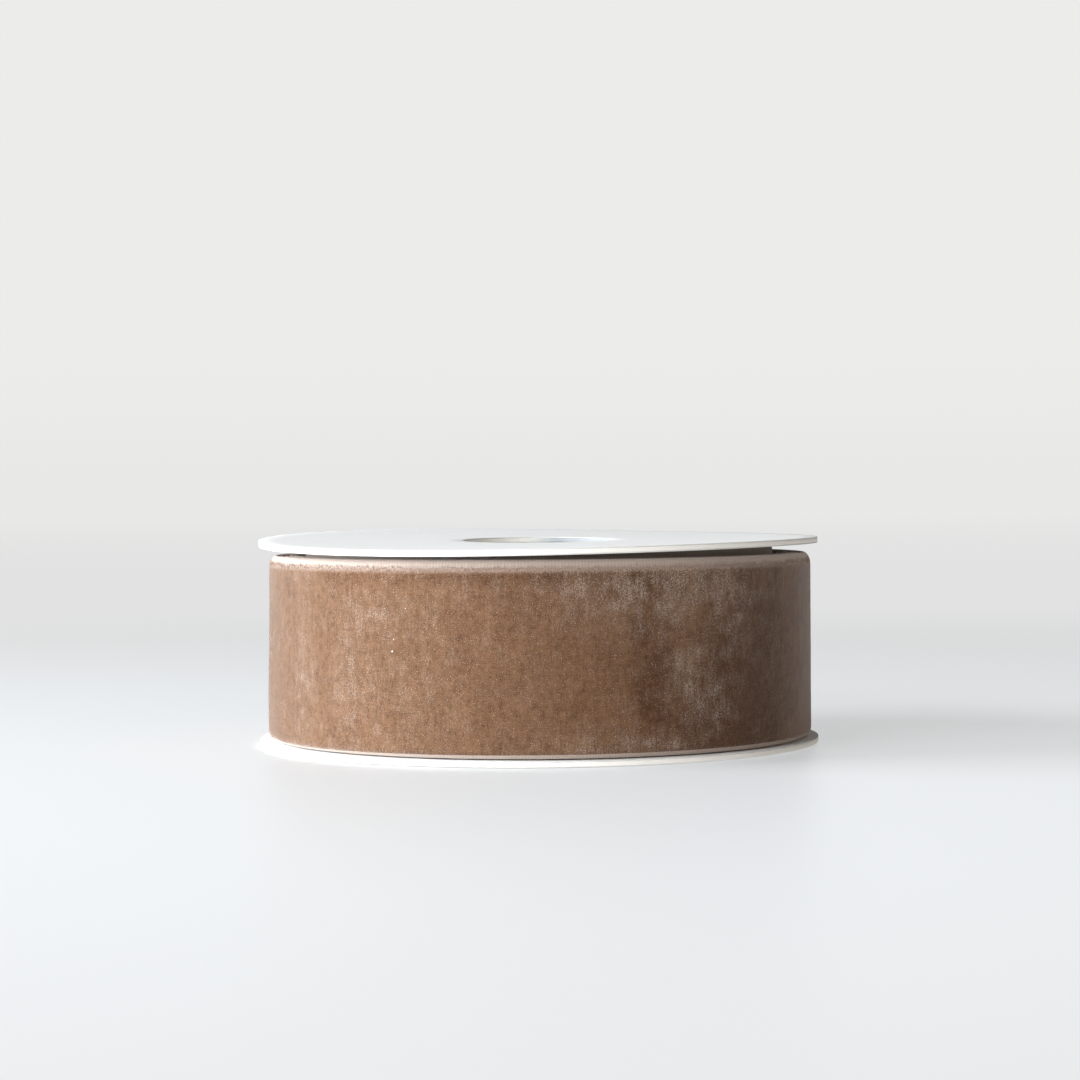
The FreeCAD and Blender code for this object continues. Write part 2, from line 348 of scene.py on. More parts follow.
def pressed_and_shade(angle, along, height):
    """Share of pile that lies flat, 0 to 1, with some places of painted shade."""
    cloud = noise.noise(Vector((along / (5 * MM), height / (6 * MM), 8.1)))
    streak = noise.noise(Vector((along / (1.4 * MM), height / (7 * MM), 4.7)))
    patch = places_sum(PRESSED_AND_PAINTED_SHADE, angle, height) * (0.8 + 0.5 * cloud)
    return min(1.0, max(0.0, patch + 0.22 * cloud + 0.16 * streak + 0.2))


pile_tones = {"frost_and_sheen": frost_and_sheen, "pressed_and_shade": pressed_and_shade}
pile_path = arc_path(FOLD_ANGLE - FULL_TURN, FOLD_ANGLE, PILE_STEP, last_turn_radius)
last_pile = ribbon_strip("last_turn_pile", pile_path, pile_section, "spool", pile_tones)

# %% [markdown]
# Along the pile's top edge the outermost fibres have nothing to hold them up, and lean out over the selvedge.
# They are short spikes, each of four faces, scattered by a seeded chance.

# %% Loose fibres along the pile
FIBRE_STEP = 0.15 * MM
FIBRE_THICK = 0.035 * MM
FIBRE_ROOTS = 1.0 * MM
FIBRE_LENGTHS = (0.35, 0.85)
FIBRE_LEAN = 0.25


def front_depth(height):
    """Depth of the ribbon's front near its top: the pile's shoulder, or the bare selvedge above it."""
    bare = 1.1 * GROUND_THICK - RIBBON_THICK
    from_edge = (RIBBON_WIDTH - PILE_TOP_EDGE - height) / TOP_SHOULDER
    return max(bare, pile_depth(from_edge, 0.04 * MM)) if from_edge > 0 else bare


def front_place(angle, height, lifted):
    """A point a little above the ribbon's front."""
    reach = last_turn_radius(angle) + slack(angle, height) + front_depth(height) + lifted
    return reach * math.cos(angle), reach * math.sin(angle), RIBBON_LOW + height


def loose_fibres(name, start, end, body):
    """Fibres that lean up from the pile's top shoulder, between two angles."""
    chance = random.Random(7)
    verts, faces = [], []
    for station in range(int((end - start) * FOLD_RADIUS / FIBRE_STEP)):
        angle = start + (station + chance.random()) * FIBRE_STEP / FOLD_RADIUS
        root = RIBBON_WIDTH - PILE_TOP_EDGE - chance.uniform(0.0, 1.0) * FIBRE_ROOTS
        tip = root + chance.uniform(*FIBRE_LENGTHS) * MM
        lean = chance.uniform(-FIBRE_LEAN, FIBRE_LEAN) * MM / FOLD_RADIUS
        half = FIBRE_THICK / FOLD_RADIUS
        first = len(verts)
        verts += [front_place(angle - half, root, -0.05 * MM),
                  front_place(angle + half, root, -0.05 * MM),
                  front_place(angle, root - FIBRE_THICK, 0.03 * MM),
                  front_place(min(angle + lean, end), tip, chance.uniform(0.05, 0.2) * MM)]
        faces += [(first, first + 1, first + 2), (first, first + 3, first + 1),
                  (first + 1, first + 3, first + 2), (first + 2, first + 3, first)]
    mesh = bpy.data.meshes.new(name)
    mesh.from_pydata(verts, [], faces)
    fibres = add_closed_piece(mesh)
    if body:
        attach(fibres, body)
    print(name, len(verts) // 4, "fibres")
    return fibres


last_fibres = loose_fibres("last_turn_loose_fibres", FOLD_ANGLE - FULL_TURN, FOLD_ANGLE, "spool")
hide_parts("ribbon_last_turn")

# %% [markdown]
# A few specks of white lint have caught on the pile. Each is a tiny ball, half sunk in it.

# %% Lint
LINT = (  # degrees about the axis, height in mm, radius in mm
    (-119.9, 20.4, 0.19),
    (-119.6, 22.7, 0.11),
    (-116.9, 28.7, 0.09),
)
specks = []
for degrees, height, size in LINT:
    angle = math.radians(degrees)
    reach = last_turn_radius(angle) + slack(angle, height * MM)
    bpy.ops.object.select_all(action="DESELECT")
    place = (reach * math.cos(angle), reach * math.sin(angle), RIBBON_LOW + height * MM)
    bpy.ops.mesh.primitive_ico_sphere_add(subdivisions=2, radius=size * MM, location=place)
    speck = bpy.context.object
    speck.name = speck.data.name = f"lint_speck_{len(specks) + 1}"
    bpy.ops.object.transform_apply(location=True, rotation=True, scale=True)
    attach(speck, "spool")
    specks.append(speck)

# %% [markdown]
# ## The tail
# The tail is the next stretch of the same ribbon. It is made as its own pieces, which are not attached to the
# spool, and the place where its bend would end is worked out.

# %% Tail
BEND_LENGTH = 9 * MM

tail_end = FOLD_ANGLE + TAIL_SWEEP
tail_ground = ribbon_strip("tail_ground_cloth", arc_path(FOLD_ANGLE, tail_end, rib_step, last_turn_radius),
                           ground_section, None)
tail_pile = ribbon_strip("tail_pile", arc_path(FOLD_ANGLE, tail_end, PILE_STEP, last_turn_radius),
                         pile_section, None, pile_tones)
tail_fibres = loose_fibres("tail_loose_fibres", FOLD_ANGLE, tail_end, None)
bend_angle = FOLD_ANGLE + BEND_LENGTH / FOLD_RADIUS
bend_end = Vector((math.cos(bend_angle), math.sin(bend_angle), 0)) * FOLD_RADIUS
bend_end.z = FOLD.z
for piece in (tail_ground, tail_pile, tail_fibres):
    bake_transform(piece)
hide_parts("ribbon_tail")

# %% [markdown]
# ## The turns under the last one
# Only the upper edges of these turns show, in the gap below the curled flange. Six outer turns lie as low as
# the last one. The inner turns are wound tight, and stand up against the flange, whose curl they follow. All
# of them are one spiral, so they are made by one loop with a coarser outline.

# %% Turns below
TURN_STEPS = 150


def wound_section(angle, along):
    """Outline of a turn under others: selvedges a little thinner than the pressed pile between them."""
    back = -0.93 * RIBBON_THICK
    thin = 0.42 * back
    low = [(0.0, 0.75 * back), (0.15 * MM, thin), (SELVEDGE, thin), (SELVEDGE + 0.4 * MM, -0.03 * MM)]
    high = [(RIBBON_WIDTH - height, depth) for height, depth in reversed(low)]
    return low + high + [(RIBBON_WIDTH - 0.15 * MM, back), (0.15 * MM, back)]


def wound_path(outside, inside, rise_at):
    """A spiral from inside to outside, whose outer end joins the start of the turn over it."""
    turns = (outside - inside) / WOUND_PITCH
    count = round(turns * TURN_STEPS)
    stations, along = [], 0.0
    for index in range(count + 1):
        share = index / count
        angle = FOLD_ANGLE - FULL_TURN * turns * (1 - share)
        radius = inside + (outside - inside) * share
        stations.append((angle, radius, rise_at(angle, radius), along))
        along += FULL_TURN * turns / count * radius
    return stations, along


CURL_RISE = 0.91 * MM
CURL_OFFSET = 21.5 * MM
CURL_ANGLE = math.radians(-40)
CURL_SLOPE = math.radians(0.69)
CURL_RADIUS = FLANGE_RADIUS ** 2 / (2 * CURL_RISE) + CURL_RISE / 2


def curl_rise(angle, radius):
    """Height of the curled, leaning flange above the middle of its low line."""
    across = radius * math.cos(angle - CURL_ANGLE) - CURL_OFFSET
    along = radius * math.sin(angle - CURL_ANGLE)
    return CURL_RADIUS - math.sqrt(CURL_RADIUS ** 2 - across ** 2) + along * math.tan(CURL_SLOPE)


def low_line_height(node, radius):
    """Height of the low line's middle under a plain piece of some radius, from the piece's lowest point."""
    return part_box(node)[0].z - min(curl_rise(math.radians(degree), radius) for degree in range(360))


CURL_LOW = low_line_height("upper_flange_inner_paper", FLANGE_RADIUS)
INNER_LOW = low_line_height("ribbon_inner_turns", INNER_RADIUS)
print("curled flange's low line at", round(CURL_LOW / MM, 2), "mm, and that of the inner turns at",
      round(INNER_LOW / MM, 2), "mm")

outer_path, outer_length = wound_path(
    last_turn_radius(FOLD_ANGLE - FULL_TURN), INNER_RADIUS + WOUND_PITCH,
    lambda angle, radius: RIBBON_LOW + 0.06 * MM * math.sin(0.7 * angle + 900 * radius))
inner_path, inner_length = wound_path(
    INNER_RADIUS, CORE_OUTSIDE + RIBBON_THICK,
    lambda angle, radius: INNER_LOW + curl_rise(angle, radius) - 0.05 * MM * (1 + math.sin(2.9 * angle)))
outer_turns = ribbon_strip("outer_turns_ribbon", outer_path, wound_section, "spool")
inner_turns = ribbon_strip("inner_turns_ribbon", inner_path, wound_section, "spool")
for piece, node, length in ((outer_turns, "ribbon_outer_turns", outer_length),
                            (inner_turns, "ribbon_inner_turns", inner_length)):
    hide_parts(node)

# %% [markdown]
# ## The flanges
# Each flange is a disc of pale pulp board, lined with white paper on both faces and punched out in one blow.
# The punch rounds the rim a little. A disc starts here as a cylinder, is inset towards its hole, opened, and
# bevelled. The upper flange has then curled, as card does when one lining dries faster, so it is bent. The paper
# under the lower flange stands back from the rim, and leaves a thin line of shadow where the card meets the table.

# %% Card discs
RIM_STEPS = 256
INSETS = 12
BOARD_ROUNDING, PAPER_ROUNDING = 0.24 * MM, 0.035 * MM
SHADOW_GAP = 1.3 * MM
BORE_RADIUS = min(math.hypot(v.co.x, v.co.y) for v in frame["nodes"]["lower_flange_board"].data.vertices)


def select_only(piece):
    """Makes a piece the one that operators act on."""
    bpy.ops.object.select_all(action="DESELECT")
    bpy.context.view_layer.objects.active = piece
    piece.select_set(True)


def apply_modifier(piece, kind, **settings):
    """Adds a modifier with its settings, and applies it. The piece is left selected."""
    modifier = piece.modifiers.new(kind.lower(), kind)
    for name, value in settings.items():
        setattr(modifier, name, value)
    select_only(piece)
    bpy.ops.object.modifier_apply(modifier=modifier.name)


def card_disc(name, node, bottom, thick, rounding, trim):
    """A flat ring of card: a cylinder, inset in steps to its hole, then opened and bevelled. Its rim and its hole
    stand back by the trim."""
    outer = FLANGE_RADIUS - trim
    bpy.ops.object.select_all(action="DESELECT")
    bpy.ops.mesh.primitive_cylinder_add(vertices=RIM_STEPS, radius=outer, depth=thick,
                                        location=(0, 0, bottom + thick / 2))
    disc = bpy.context.object
    disc.name = disc.data.name = name
    bpy.ops.object.mode_set(mode="EDIT")
    bpy.ops.mesh.select_mode(type="FACE")
    bpy.ops.mesh.select_all(action="DESELECT")
    bpy.ops.object.mode_set(mode="OBJECT")
    for face in disc.data.polygons:
        face.select = abs(face.normal.z) > 0.9
    bpy.ops.object.mode_set(mode="EDIT")
    for _ in range(INSETS):
        bpy.ops.mesh.inset(thickness=(outer - BORE_RADIUS - trim) / INSETS, depth=0)
    bpy.ops.mesh.bridge_edge_loops()
    bpy.ops.object.mode_set(mode="OBJECT")
    bpy.ops.object.transform_apply(location=True, rotation=True, scale=True)
    apply_modifier(disc, "BEVEL", width=rounding, segments=3, limit_method="ANGLE", angle_limit=math.radians(60))
    bpy.ops.object.shade_smooth_by_angle(angle=math.radians(35))
    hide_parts(node)
    return disc


def curl(disc):
    """Bends a flat disc about its low line and leans it back, as the plain model's upper flange is."""
    along_rise = Vector((math.cos(CURL_ANGLE), math.sin(CURL_ANGLE), 0))
    upward = Vector((0, 0, 1))
    centre = bpy.data.objects.new("bend_centre", None)
    bpy.context.scene.collection.objects.link(centre)
    axes = Matrix((along_rise, upward, along_rise.cross(upward))).transposed()
    middle = Matrix.Translation(along_rise * CURL_OFFSET + upward * CURL_LOW)
    centre.matrix_world = middle @ axes.to_4x4()
    bpy.context.view_layer.update()
    apply_modifier(disc, "SIMPLE_DEFORM", deform_method="BEND", deform_axis="Z", origin=centre,
                   angle=2 * FLANGE_RADIUS / CURL_RADIUS)
    bpy.data.objects.remove(centre)
    disc.matrix_world = middle @ Matrix.Rotation(CURL_SLOPE, 4, along_rise) @ middle.inverted()
    select_only(disc)
    bpy.ops.object.transform_apply(location=True, rotation=True, scale=True)


PAPER_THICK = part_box("lower_flange_inner_paper")[1].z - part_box("lower_flange_inner_paper")[0].z
BOARD_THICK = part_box("lower_flange_board")[1].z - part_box("lower_flange_board")[0].z
flange_layers = (("outer_paper", 0.0, PAPER_THICK, PAPER_ROUNDING),
                 ("board", PAPER_THICK, BOARD_THICK, BOARD_ROUNDING),
                 ("inner_paper", PAPER_THICK + BOARD_THICK, PAPER_THICK, PAPER_ROUNDING))
CARD_THICK = 2 * PAPER_THICK + BOARD_THICK
flanges = {}
for side in ("lower", "upper"):
    for layer, offset, thick, rounding in flange_layers:
        from_below = offset if side == "lower" else CURL_LOW + CARD_THICK - offset - thick
        trim = SHADOW_GAP if (side, layer) == ("lower", "outer_paper") else 0.0
        node = f"{side}_flange_{layer}"
        disc = card_disc(f"{node}_disc", node, from_below, thick, rounding, trim)
        if side == "upper":
            curl(disc)
        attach(disc, "spool")
        flanges[side, layer] = disc

# %% [markdown]
# ## Finishes
# A material is built from few nodes: one noise for each kind of unevenness that the real surface has. The
# helpers below only save typing. Numbers that are the same all over stay on the shader's own sockets.

# %% Material helpers
def new_finish(name, **sockets):
    """A material with a Principled shader. Sockets are named as the shader shows them, with _ for spaces."""
    finish = bpy.data.materials.new(name)
    finish.use_nodes = True
    shader = finish.node_tree.nodes["Principled BSDF"]
    for socket, value in sockets.items():
        shader.inputs[socket.replace("_", " ")].default_value = value
    return finish, finish.node_tree, shader


def scaled(tree, source, size):
    """A coordinate divided by a size in metres, one size for each axis."""
    made = tree.nodes.new("ShaderNodeVectorMath")
    made.operation = "MULTIPLY"
    made.inputs[1].default_value = tuple(1 / part for part in size)
    tree.links.new(source, made.inputs[0])
    return made.outputs["Vector"]


def speckle(tree, place, size, detail=2.0, rough=0.5):
    """Soft noise whose grains have a size in metres."""
    made = tree.nodes.new("ShaderNodeTexNoise")
    made.inputs["Scale"].default_value = 1.0
    made.inputs["Detail"].default_value = detail
    made.inputs["Roughness"].default_value = rough
    tree.links.new(scaled(tree, place, size), made.inputs["Vector"])
    return made.outputs["Fac"]


def remap(tree, value, from_low, from_high, to_low=0.0, to_high=1.0):
    """A value moved from one range to another, smoothly, and held inside it."""
    made = tree.nodes.new("ShaderNodeMapRange")
    made.interpolation_type = "SMOOTHSTEP"
    for socket, number in zip(("From Min", "From Max", "To Min", "To Max"), (from_low, from_high, to_low, to_high)):
        made.inputs[socket].default_value = number
    tree.links.new(value, made.inputs["Value"])
    return made.outputs["Result"]


def math_node(tree, operation, first, second=0.0):
    """Arithmetic on sockets or numbers."""
    made = tree.nodes.new("ShaderNodeMath")
    made.operation = operation
    for index, value in enumerate((first, second)):
        if hasattr(value, "links"):
            tree.links.new(value, made.inputs[index])
        else:
            made.inputs[index].default_value = value
    return made.outputs["Value"]


def add_shares(tree, *shares):
    """Adds sockets, each multiplied by its own number."""
    total = None
    for source, weight in shares:
        part = source if weight == 1 else math_node(tree, "MULTIPLY", source, weight)
        total = part if total is None else math_node(tree, "ADD", total, part)
    return total


def axes_of(tree, place):
    """The three parts of a coordinate, as outputs X, Y and Z."""
    made = tree.nodes.new("ShaderNodeSeparateXYZ")
    tree.links.new(place, made.inputs[0])
    return made.outputs


def blend_colours(tree, share, first, second):
    """Mixes two colours by a share. Either may be a socket."""
    made = tree.nodes.new("ShaderNodeMix")
    made.data_type = "RGBA"
    tree.links.new(share, made.inputs["Factor"])
    for socket, value in (("A", first), ("B", second)):
        target = next(s for s in made.inputs if s.name == socket and s.type == "RGBA")
        if hasattr(value, "links"):
            tree.links.new(value, target)
        else:
            target.default_value = (*value, 1.0)
    return next(s for s in made.outputs if s.type == "RGBA")


def bump(tree, shader, height, distance, strength=1.0):
    """Roughens the surface by a height."""
    made = tree.nodes.new("ShaderNodeBump")
    made.inputs["Distance"].default_value = distance
    made.inputs["Strength"].default_value = strength
    tree.links.new(height, made.inputs["Height"])
    tree.links.new(made.outputs["Normal"], shader.inputs["Normal"])


def place_on_strip(tree):
    """The strip's own map: metres along, metres up."""
    made = tree.nodes.new("ShaderNodeUVMap")
    made.uv_map = "strip"
    return made.outputs["UV"]


def paint(tree, shader, colour):
    """Gives the shader its colour."""
    tree.links.new(colour, shader.inputs["Base Color"])


def tone_of(tree, name):
    """A value kept at the vertices."""
    made = tree.nodes.new("ShaderNodeAttribute")
    made.attribute_name = name
    return made.outputs["Fac"]


def place_in_object(tree):
    """The piece's own coordinates, in metres."""
    return tree.nodes.new("ShaderNodeTexCoord").outputs["Object"]


# %% [markdown]
# ### Velvet
# Velvet looks dark where the eye looks into the pile, and pale where it looks along it or where the tips of
# the fibres catch the light. The shader's sheen makes the pale rim. The frosted and pressed places come partly
# from the pile itself, and partly are painted sheen and painted shade. The pile's top shoulder is painted paler,
# as painted sheen. Noises add the rest: streaks along warp and weft, a fine grain, and single bright tips,
# which are painted glints.

# %% Velvet
def velvet():
    finish, tree, shader = new_finish("mocha_velvet", Roughness=0.85, Sheen_Weight=0.95, Sheen_Roughness=0.31,
                                      Sheen_Tint=(1.0, 0.92, 0.87, 1.0), Specular_IOR_Level=0.0)
    place = place_on_strip(tree)
    warp = speckle(tree, place, (0.5 * MM, 3 * MM, 1), detail=3.0, rough=0.6)
    weft = speckle(tree, place, (5 * MM, 0.33 * MM, 1), detail=2.0)
    mottle = speckle(tree, place, (1.3 * MM, 1.5 * MM, 1), detail=5.0, rough=0.72)
    grain = speckle(tree, place, (0.20 * MM, 0.24 * MM, 1), detail=2.0, rough=0.6)
    tips = speckle(tree, place, (0.17 * MM, 0.19 * MM, 1), detail=0.0)
    tufts = speckle(tree, place, (0.36 * MM, 0.48 * MM, 1), detail=3.0, rough=0.65)
    shade = add_shares(tree, (mottle, 0.50), (grain, 0.52), (warp, 0.16), (weft, 0.10),
                       (tone_of(tree, "pressed_and_shade"), -0.17))
    colour = blend_colours(tree, remap(tree, shade, 0.36, 0.82), (0.066, 0.031, 0.016), (0.216, 0.119, 0.068))
    threads = remap(tree, add_shares(tree, (tufts, 0.7), (warp, 0.3)), 0.42, 0.70, 0.08, 0.80)
    # the frosted tone is partly real frost and partly painted sheen, from the places listed above
    frost_and_sheen_mix = math_node(tree, "MULTIPLY", tone_of(tree, "frost_and_sheen"), threads)
    colour = blend_colours(tree, frost_and_sheen_mix, colour, (0.36, 0.285, 0.235))
    # painted sheen: the pile's top shoulder, where it leans out and catches the light, is painted paler, with a
    # ragged lower border
    ragged = add_shares(tree, (axes_of(tree, place)["Y"], 1), (tufts, 1.3 * MM))
    pile_top = RIBBON_WIDTH - PILE_TOP_EDGE + 0.65 * MM
    painted_shoulder_sheen = remap(tree, ragged, pile_top - 1.5 * MM, pile_top - 0.1 * MM, 0.0, 0.85)
    colour = blend_colours(tree, painted_shoulder_sheen, colour, (0.40, 0.31, 0.26))
    # painted glints: single fibre tips are painted bright
    painted_glints = remap(tree, add_shares(tree, (tips, 1), (tone_of(tree, "frost_and_sheen"), 0.09)), 0.73, 0.84, 0.0, 0.65)
    colour = blend_colours(tree, painted_glints, colour, (0.62, 0.54, 0.49))
    paint(tree, shader, colour)
    bump(tree, shader, add_shares(tree, (grain, 1), (mottle, 1.2)), 0.13 * MM)
    return finish


# %% [markdown]
# ### Selvedge
# The bare edge is a close satin-like weave, smoother and paler than the pile. Its colour varies from rib to
# rib, because each rib is one pick of weft. It darkens beside the pile. Its outermost edge is painted paler, a
# painted highlight that offsets the shade the flange casts there.

# %% Selvedge
def selvedge():
    finish, tree, shader = new_finish("woven_selvedge", Roughness=0.6, Sheen_Weight=0.3, Sheen_Roughness=0.4,
                                      Sheen_Tint=(1.0, 0.9, 0.86, 1.0), Specular_IOR_Level=0.4)
    place = place_on_strip(tree)
    ribs = tree.nodes.new("ShaderNodeTexWave")
    ribs.bands_direction = "X"
    ribs.inputs["Scale"].default_value = 1.0
    ribs.inputs["Distortion"].default_value = 0.6
    tree.links.new(scaled(tree, place, (RIB_PITCH * 10 / math.pi, 1.2 * MM, 1)), ribs.inputs["Vector"])
    fibres = speckle(tree, place, (0.35 * MM, 0.2 * MM, 1), detail=2.0)
    share = add_shares(tree, (ribs.outputs["Fac"], 0.25), (fibres, 0.75))
    weave = blend_colours(tree, share, (0.27, 0.21, 0.175), (0.53, 0.435, 0.375))
    half = 0.5 * RIBBON_WIDTH
    off_middle = math_node(tree, "ABSOLUTE", math_node(tree, "SUBTRACT", axes_of(tree, place)["Y"], half))
    near_pile = remap(tree, off_middle, half - 1.3 * MM, half - 0.35 * MM, 0.3, 0.0)
    # painted highlight: the outermost 0.35 mm of each selvedge is painted paler
    painted_edge_highlight = remap(tree, off_middle, half - 0.35 * MM, half - 0.1 * MM, 0.0, 0.6)
    colour = blend_colours(tree, near_pile, weave, (0.20, 0.14, 0.11))
    paint(tree, shader, blend_colours(tree, painted_edge_highlight, colour, (0.60, 0.51, 0.46)))
    bump(tree, shader, share, 0.1 * MM, 0.6)
    return finish


# %% [markdown]
# ### Loose fibres and lint
# A loose fibre is lit on its own, so it is paler than the pile it comes from. Lint is white, with a soft sheen.

# %% Loose fibre and lint
def loose_fibre():
    finish, tree, shader = new_finish("loose_pile_fibre", Roughness=0.7, Sheen_Weight=0.4,
                                      Sheen_Tint=(1.0, 0.92, 0.87, 1.0), Specular_IOR_Level=0.2)
    lots = speckle(tree, place_in_object(tree), (0.3 * MM,) * 3)
    paint(tree, shader, blend_colours(tree, lots, (0.17, 0.105, 0.07), (0.42, 0.32, 0.26)))
    return finish


def lint_fluff():
    finish, tree, shader = new_finish("white_lint", Roughness=0.9, Sheen_Weight=0.5)
    puffs = speckle(tree, place_in_object(tree), (0.1 * MM,) * 3)
    paint(tree, shader, blend_colours(tree, puffs, (0.62, 0.61, 0.60), (0.86, 0.85, 0.84)))
    return finish


# %% [markdown]
# ### Paper, board, tube paper, glue and film
# Lining paper is white with a faint mottle and a fine tooth. Board shows its pulp on the cut edge as fine
# level lines. The side of the hole that the window lights is painted bluish grey, as painted shade. The core is
# pale grey tube paper, wound in a spiral whose seam can be seen inside. Tape is a clear film with faint streaks.

# %% Card and film
SEAM_CLIMB = 44 * MM


def lining_paper():
    finish, tree, shader = new_finish("white_lining_paper", Roughness=0.8, Specular_IOR_Level=0.02)
    place = place_in_object(tree)
    cloud = speckle(tree, place, (6 * MM,) * 3, detail=3.0)
    tooth = speckle(tree, place, (0.25 * MM,) * 3, detail=3.0)
    share = add_shares(tree, (cloud, 0.6), (tooth, 0.4))
    paint(tree, shader, blend_colours(tree, share, (0.68, 0.673, 0.663), (0.76, 0.753, 0.743)))
    bump(tree, shader, tooth, 0.02 * MM, 0.5)
    return finish


def pulp_board():
    finish, tree, shader = new_finish("pulp_board", Roughness=0.85, Specular_IOR_Level=0.2)
    place = place_in_object(tree)
    layers = speckle(tree, place, (4 * MM, 4 * MM, 0.12 * MM), detail=3.0)
    pulp = speckle(tree, place, (0.4 * MM, 0.4 * MM, 0.25 * MM), detail=4.0, rough=0.65)
    share = add_shares(tree, (layers, 0.5), (pulp, 0.5))
    axes = axes_of(tree, place)
    squares = [(math_node(tree, "POWER", axes[way], 2.0), 1) for way in "XY"]
    from_axis = math_node(tree, "SQRT", add_shares(tree, *squares))
    in_bore = remap(tree, from_axis, BORE_RADIUS + 0.3 * MM, BORE_RADIUS + 0.6 * MM, 1.0, 0.0)
    # painted shade: the right-hand wall of the bore, which faces the window, is painted bluish grey
    painted_bore_shade = math_node(tree, "MULTIPLY", in_bore, remap(tree, axes["X"], -5.5 * MM, 5 * MM))
    clean = blend_colours(tree, share, (0.80, 0.765, 0.715), (0.95, 0.93, 0.89))
    paint(tree, shader, blend_colours(tree, painted_bore_shade, clean, (0.31, 0.328, 0.342)))
    bump(tree, shader, share, 0.08 * MM, 0.7)
    return finish


def tube_paper():
    finish, tree, shader = new_finish("pale_tube_paper", Roughness=0.8, Specular_IOR_Level=0.25)
    place = place_in_object(tree)
    fibres = speckle(tree, place, (0.5 * MM, 0.5 * MM, 2.5 * MM), detail=4.0, rough=0.65)
    axes = axes_of(tree, place)
    around = math_node(tree, "DIVIDE", math_node(tree, "ARCTAN2", axes["Y"], axes["X"]), FULL_TURN)
    climb = math_node(tree, "ADD", around, math_node(tree, "DIVIDE", axes["Z"], SEAM_CLIMB))
    on_seam = remap(tree, math_node(tree, "PINGPONG", climb, 0.5), 0.0, 0.012, 1.0, 0.0)
    paper = blend_colours(tree, fibres, (0.62, 0.62, 0.61), (0.76, 0.76, 0.75))
    paint(tree, shader, blend_colours(tree, on_seam, paper, (0.45, 0.44, 0.43)))
    bump(tree, shader, math_node(tree, "SUBTRACT", fibres, on_seam), 0.1 * MM, 0.6)
    return finish


def dried_glue():
    finish, tree, shader = new_finish("dried_white_glue", Roughness=0.35, Subsurface_Weight=0.2)
    lumps = speckle(tree, place_in_object(tree), (0.8 * MM,) * 3, detail=3.0)
    paint(tree, shader, blend_colours(tree, lumps, (0.74, 0.68, 0.55), (0.88, 0.84, 0.74)))
    bump(tree, shader, lumps, 0.1 * MM, 0.8)
    return finish


def clear_film():
    finish, tree, shader = new_finish("clear_tape_film", Roughness=0.14, Alpha=0.32, Specular_IOR_Level=0.6,
                                      Coat_Weight=0.6, Coat_Roughness=0.08)
    streaks = speckle(tree, place_in_object(tree), (3 * MM, 3 * MM, 0.4 * MM), detail=3.0)
    paint(tree, shader, blend_colours(tree, streaks, (0.80, 0.76, 0.68), (0.95, 0.93, 0.88)))
    tree.links.new(remap(tree, streaks, 0.3, 0.7, 0.08, 0.22), shader.inputs["Roughness"])
    bump(tree, shader, streaks, 0.03 * MM, 0.4)
    return finish


# %% [markdown]
# Each new piece takes one finish. The pieces that keep their plain shape, which are the core, the glue and the two
# tapes, take theirs last.

# %% Give each piece its finish
def coat(piece, finish):
    """Gives a piece one finish."""
    piece.data.materials.clear()
    piece.data.materials.append(finish)


for finish, pieces in ((velvet(), (last_pile, tail_pile)),
                       (lint_fluff(), specks),
                       (loose_fibre(), (last_fibres, tail_fibres)),
                       (selvedge(), (last_ground, tail_ground, outer_turns, inner_turns))):
    for piece in pieces:
        coat(piece, finish)
paper_finish, board_finish = lining_paper(), pulp_board()
for (side, layer), disc in flanges.items():
    if layer == "board":
        coat(disc, board_finish)
    else:
        coat(disc, paper_finish)
for finish, names in ((tube_paper(), ("core_inner_ply", "core_middle_ply", "core_outer_ply")),
                      (dried_glue(), ("lower_glue_ring", "upper_glue_ring")),
                      (clear_film(), ("starter_tape", "tail_tape"))):
    for name in names:
        plain_piece = frame["nodes"][name]
        if not plain_piece.material_slots:
            plain_piece.data.materials.append(finish)
        for material_slot in plain_piece.material_slots:
            material_slot.material = finish
print(len(bpy.data.materials), "materials")

# %% [markdown]
# ## Stage
# The spool lies on a plain pale table, which glows a little, and fades into an even glow further off, so that no
# far edge shows.

# %% Table
TABLE_NEAR, TABLE_FAR = 0.12, 0.70
BACKDROP = (0.84, 0.84, 0.825)
HORIZON = (0.81, 0.81, 0.80)
bpy.ops.object.select_all(action="DESELECT")
bpy.ops.mesh.primitive_circle_add(vertices=128, radius=8.0, fill_type="NGON", location=(0, 0, 0))
table = bpy.context.object
table.name = "table_top"
table_finish, table_tree, table_shader = new_finish(
    "pale_table", Roughness=0.42, Specular_IOR_Level=0.24, Base_Color=(0.300, 0.305, 0.310, 1.0),
    Emission_Color=(0.375, 0.385, 0.392, 1.0))
spot = place_in_object(table_tree)
# painted light: the table's own glow is stronger in front of the spool than behind it, and lightens the spool's
# shadow
table_tree.links.new(remap(table_tree, axes_of(table_tree, spot)["Y"], -0.25, 0.55, 1.05, 0.65),
                     table_shader.inputs["Emission Strength"])
reach = table_tree.nodes.new("ShaderNodeVectorMath")
reach.operation = "LENGTH"
table_tree.links.new(spot, reach.inputs[0])
glow = table_tree.nodes.new("ShaderNodeEmission")
far_share = remap(table_tree, reach.outputs["Value"], 0.7, 4.5)
table_tree.links.new(blend_colours(table_tree, far_share, (0.755, 0.76, 0.755), HORIZON), glow.inputs["Color"])
fade = table_tree.nodes.new("ShaderNodeMixShader")
table_tree.links.new(remap(table_tree, reach.outputs["Value"], TABLE_NEAR, TABLE_FAR), fade.inputs["Fac"])
table_tree.links.new(table_shader.outputs["BSDF"], fade.inputs[1])
table_tree.links.new(glow.outputs["Emission"], fade.inputs[2])
table_tree.links.new(fade.outputs["Shader"], table_tree.nodes["Material Output"].inputs["Surface"])
table.data.materials.append(table_finish)

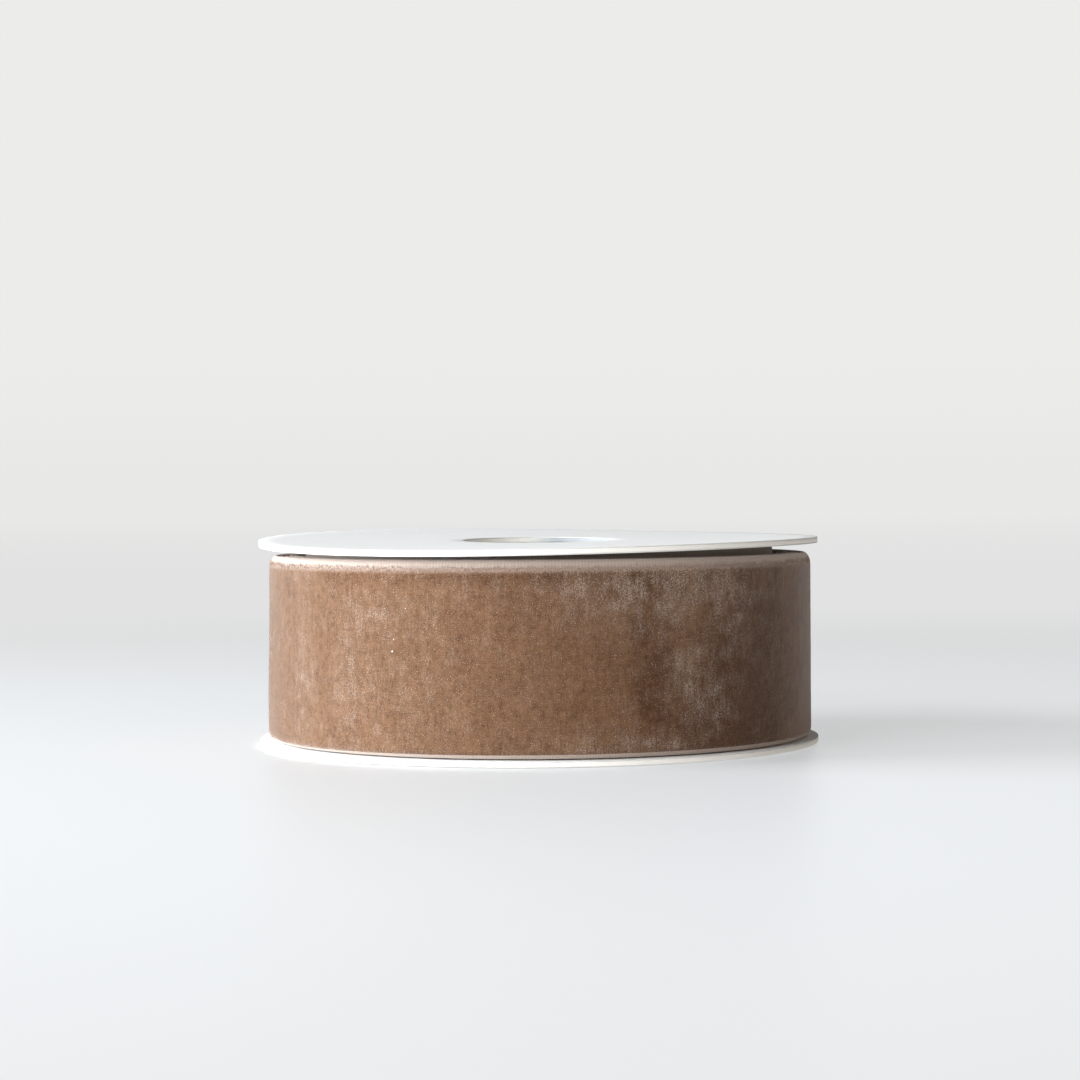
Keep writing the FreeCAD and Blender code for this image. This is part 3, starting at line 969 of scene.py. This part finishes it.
# %% [markdown]
# A large soft window stands low on the left, and a second, weaker one in front of it. A pale wall on the right
# gives some of that light back, warmer, and the ceiling fills the top. Round them all is a pale room, which
# shows behind the spool but doesn't light matt surfaces.

# %% Light
def soft_light(name, place, aim, width, height, power, colour=(1, 1, 1)):
    """A rectangular light that faces a point."""
    data = bpy.data.lights.new(name, "AREA")
    data.shape, data.size, data.size_y = "RECTANGLE", width, height
    data.energy, data.color = power, colour
    made = bpy.data.objects.new(name, data)
    bpy.context.scene.collection.objects.link(made)
    made.location = place
    made.rotation_euler = (Vector(aim) - Vector(place)).to_track_quat("-Z", "Y").to_euler()
    made.visible_camera = False


spool_middle = Vector((0, 0, (plain_low.z + plain_high.z) / 2))
soft_light("window", (-1.33, -0.10, 0.40), spool_middle, 0.9, 0.8, 53.0, (0.91, 0.96, 1.0))
soft_light("second_window", (-0.86, -1.04, 0.45), spool_middle, 0.9, 0.8, 22.0, (0.97, 0.985, 1.0))
soft_light("pale_wall", (0.95, -1.0, 0.45), spool_middle, 0.9, 0.8, 3.7, (1.0, 0.88, 0.75))
soft_light("ceiling", (0.0, 0.3, 1.6), spool_middle, 2.0, 1.6, 4.5)

world = bpy.data.worlds.new("pale_room")
bpy.context.scene.world = world
world.use_nodes = True
world_tree = world.node_tree
background = world_tree.nodes["Background"]
rays = world_tree.nodes.new("ShaderNodeLightPath")
not_diffuse = math_node(world_tree, "SUBTRACT", 1.0, rays.outputs["Is Diffuse Ray"])
world_tree.links.new(not_diffuse, background.inputs["Strength"])
upward = axes_of(world_tree, world_tree.nodes.new("ShaderNodeTexCoord").outputs["Generated"])["Z"]
world_tree.links.new(blend_colours(world_tree, remap(world_tree, upward, 0.0, 0.05), HORIZON, BACKDROP),
                     background.inputs["Color"])

# %% [markdown]
# The camera stands almost level with the table, a little above the spool, and is very slightly tilted.

# %% Camera
EYE = Vector((0.4 * MM, -593.5 * MM, 53.6 * MM))
LOOKING_DOWN = math.radians(1.097)
ROLL = math.radians(-0.41)
camera_data = bpy.data.cameras.new("camera")
camera_data.sensor_width = 36.0
camera_data.lens = 94.2
camera = bpy.data.objects.new("camera", camera_data)
bpy.context.scene.collection.objects.link(camera)
camera.location = EYE
camera.rotation_euler = (Euler((math.pi / 2 - LOOKING_DOWN, 0, 0)).to_matrix()
                         @ Matrix.Rotation(ROLL, 3, "Z")).to_euler()
camera_data.clip_start, camera_data.clip_end = 0.01, 50.0
bpy.context.scene.camera = camera
bpy.context.scene.view_settings.view_transform = "Standard"
